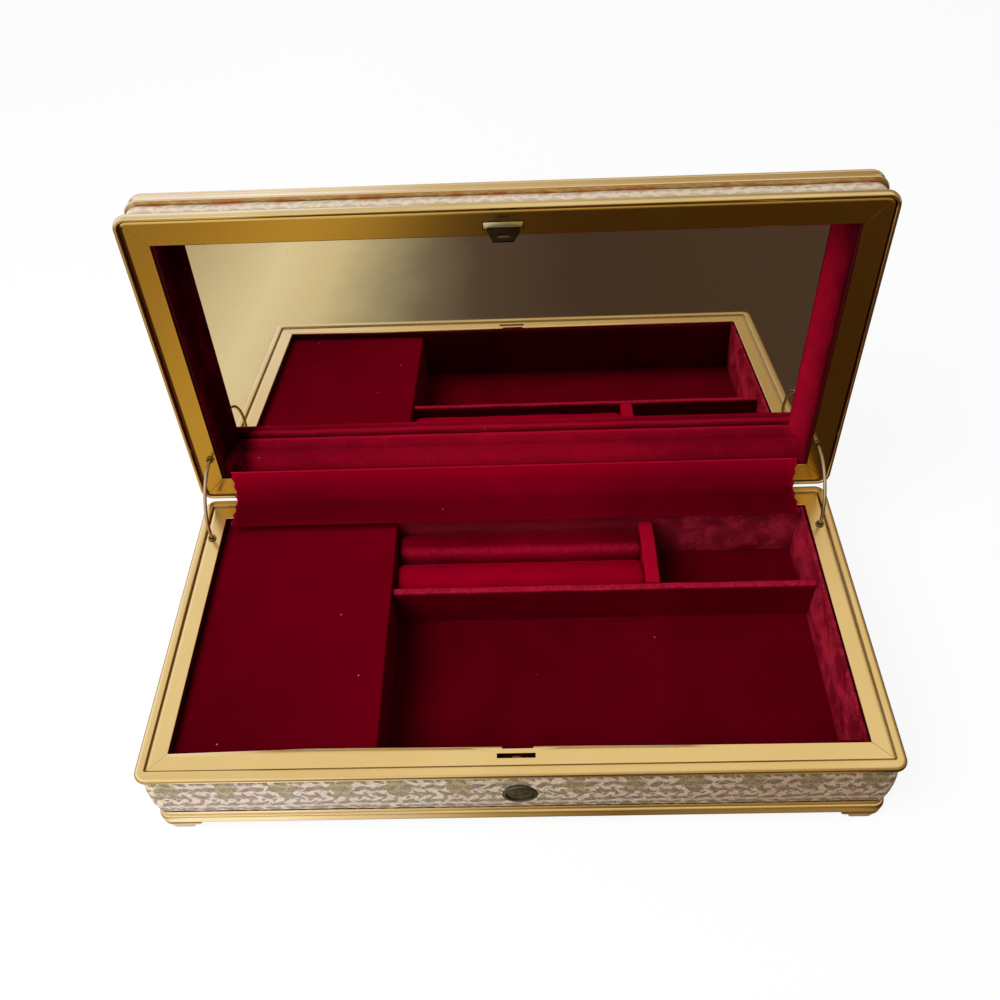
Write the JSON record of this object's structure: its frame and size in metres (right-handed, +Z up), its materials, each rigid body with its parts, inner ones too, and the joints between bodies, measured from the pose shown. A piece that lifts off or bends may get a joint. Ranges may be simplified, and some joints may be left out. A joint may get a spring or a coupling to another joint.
{
  "type": "musical jewelry box",
  "caption": "Musical jewelry box with gilt frames, brocade bands, a mirror lid on a hinge with wire stays, velvet trays with ring rolls and a wind-up movement.",
  "frame": {"origin": "on the table, under the middle of the box with its lid open as pictured", "axes": "+X to the right along the hinge, +Y to the rear, +Z up; the feet stand on z = 0"},
  "size_m": [0.291, 0.1774, 0.1856],
  "materials": {
    "base_carcass": "plain pine",
    "base_floor_board": "plain pine",
    "base_rim_frame": "satin gilt, worn pale on the flange",
    "base_rail_frame": "satin gilt, worn pale on the flange",
    "base_brocade_band": "silver and old-gold brocade",
    "foot_front_left": "satin gilt, worn pale on the flange",
    "foot_front_right": "satin gilt, worn pale on the flange",
    "foot_rear_left": "satin gilt, worn pale on the flange",
    "foot_rear_right": "satin gilt, worn pale on the flange",
    "latch_bezel": "plain brass",
    "latch_spring": "bright steel",
    "tray_floor_pad": "burgundy velvet",
    "tray_lining_front": "burgundy velvet",
    "tray_lining_rear": "burgundy velvet",
    "tray_lining_right": "burgundy velvet",
    "tray_lining_left": "burgundy velvet",
    "music_partition": "plain pine",
    "platform_batten": "plain pine",
    "music_platform": "burgundy velvet",
    "long_divider": "burgundy velvet",
    "short_divider": "burgundy velvet",
    "ring_roll_front": "burgundy velvet",
    "ring_roll_rear": "burgundy velvet",
    "hinge_leaf_base": "plain brass",
    "hinge_pin": "plain brass",
    "hinge_strip_base": "burgundy velvet",
    "stay_eyelet_base_left": "plain brass",
    "stay_eyelet_base_right": "plain brass",
    "movement_bedplate": "bright steel",
    "movement_comb": "bright steel",
    "governor_cock": "plain brass",
    "movement_screw_left": "bright steel",
    "movement_screw_right": "bright steel",
    "lid_rim_frame": "satin gilt, worn pale on the flange",
    "lid_carcass": "plain pine",
    "lid_brocade_band": "silver and old-gold brocade",
    "lid_top_frame": "satin gilt, worn pale on the flange",
    "lid_top_board": "plain pine",
    "lid_brocade_panel": "silver and old-gold brocade",
    "lid_mirror": "silvered glass",
    "mirror_backing": "grey card",
    "lid_lining": "burgundy velvet",
    "lid_catch": "plain brass",
    "hinge_leaf_lid": "plain brass",
    "hinge_strip_lid": "burgundy velvet",
    "stay_eyelet_lid_left": "plain brass",
    "stay_eyelet_lid_right": "plain brass",
    "stay_left": "plain brass",
    "stay_right": "plain brass",
    "push_button": "darkened brass",
    "latch_plate": "darkened brass",
    "winding_arbor": "bright steel",
    "winding_key": "plain brass",
    "spring_barrel": "plain brass",
    "music_cylinder": "plain brass",
    "cylinder_pinion": "plain brass",
    "governor_fan": "plain brass",
    "stop_lever": "bright steel"
  },
  "bodies": {
    "base": {"base_carcass": "base_carcass", "base_floor_board": "base_floor_board", "base_rim_frame": "base_rim_frame", "base_rail_frame": "base_rail_frame", "base_brocade_band": "base_brocade_band", "foot_front_left": "foot_front_left", "foot_front_right": "foot_front_right", "foot_rear_left": "foot_rear_left", "foot_rear_right": "foot_rear_right", "latch_bezel": "latch_bezel", "latch_spring": "latch_spring", "tray_floor_pad": "tray_floor_pad", "tray_lining_front": "tray_lining_front", "tray_lining_rear": "tray_lining_rear", "tray_lining_right": "tray_lining_right", "tray_lining_left": "tray_lining_left", "music_partition": "music_partition", "platform_batten": "platform_batten", "music_platform": "music_platform", "long_divider": "long_divider", "short_divider": "short_divider", "ring_roll_front": "ring_roll_front", "ring_roll_rear": "ring_roll_rear", "hinge_leaf_base": "hinge_leaf_base", "hinge_pin": "hinge_pin", "hinge_strip_base": "hinge_strip_base", "stay_eyelet_base_left": "stay_eyelet_base_left", "stay_eyelet_base_right": "stay_eyelet_base_right", "movement_bedplate": "movement_bedplate", "movement_comb": "movement_comb", "governor_cock": "governor_cock", "movement_screw_left": "movement_screw_left", "movement_screw_right": "movement_screw_right"},
    "lid": {"lid_rim_frame": "lid_rim_frame", "lid_carcass": "lid_carcass", "lid_brocade_band": "lid_brocade_band", "lid_top_frame": "lid_top_frame", "lid_top_board": "lid_top_board", "lid_brocade_panel": "lid_brocade_panel", "lid_mirror": "lid_mirror", "mirror_backing": "mirror_backing", "lid_lining": "lid_lining", "lid_catch": "lid_catch", "hinge_leaf_lid": "hinge_leaf_lid", "hinge_strip_lid": "hinge_strip_lid", "stay_eyelet_lid_left": "stay_eyelet_lid_left", "stay_eyelet_lid_right": "stay_eyelet_lid_right"},
    "stay_left": {"stay_left": "stay_left"},
    "stay_right": {"stay_right": "stay_right"},
    "button": {"push_button": "push_button", "latch_plate": "latch_plate"},
    "key": {"winding_arbor": "winding_arbor", "winding_key": "winding_key"},
    "barrel": {"spring_barrel": "spring_barrel"},
    "cylinder": {"music_cylinder": "music_cylinder", "cylinder_pinion": "cylinder_pinion"},
    "governor": {"governor_fan": "governor_fan"},
    "stop_lever": {"stop_lever": "stop_lever"}
  },
  "joints": [
    {"name": "lid_hinge", "type": "hinge", "parent": "base", "child": "lid", "pos_m": [0, 0.05218, 0.04505], "axis": [1, 0, 0], "range_deg": [0, 95.65]},
    {"name": "stay_left_swing", "type": "hinge", "parent": "base", "child": "stay_left", "pos_m": [0, 0.05218, 0.04505], "axis": [1, 0, 0], "range_deg": [0, 62.3]},
    {"name": "stay_right_swing", "type": "hinge", "parent": "base", "child": "stay_right", "pos_m": [0, 0.05218, 0.04505], "axis": [1, 0, 0], "range_deg": [0, 62.3]},
    {"name": "button_press", "type": "slide", "parent": "base", "child": "button", "axis": [0, 1, 0], "range_m": [0, 0.0011], "stiffness_N_per_m": 300, "springref_m": -0.002},
    {"name": "winding_turn", "type": "hinge", "parent": "base", "child": "key", "pos_m": [-0.11, -0.01422, 0.0075], "axis": [0, 0, 1], "continuous": true},
    {"name": "barrel_turn", "type": "hinge", "parent": "base", "child": "barrel", "pos_m": [-0.11, -0.01422, 0.0127], "axis": [0, 0, 1], "continuous": true},
    {"name": "cylinder_turn", "type": "hinge", "parent": "base", "child": "cylinder", "pos_m": [-0.0963, -0.01422, 0.02535], "axis": [1, 0, 0], "continuous": true},
    {"name": "governor_turn", "type": "hinge", "parent": "base", "child": "governor", "pos_m": [-0.076, 0.00178, 0.0124], "axis": [0, 0, 1], "continuous": true},
    {"name": "stop_lever_swing", "type": "hinge", "parent": "base", "child": "stop_lever", "pos_m": [-0.088, 0.00498, 0.01793], "axis": [0, 0, 1], "range_deg": [0, 9]}
  ],
  "couplings": [
    {"joint": "stay_left_swing", "follows": "lid_hinge", "ratio": 0.65},
    {"joint": "stay_right_swing", "follows": "lid_hinge", "ratio": 0.65},
    {"joint": "cylinder_turn", "follows": "barrel_turn", "ratio": 3.3333},
    {"joint": "governor_turn", "follows": "barrel_turn", "ratio": 12}
  ]
}
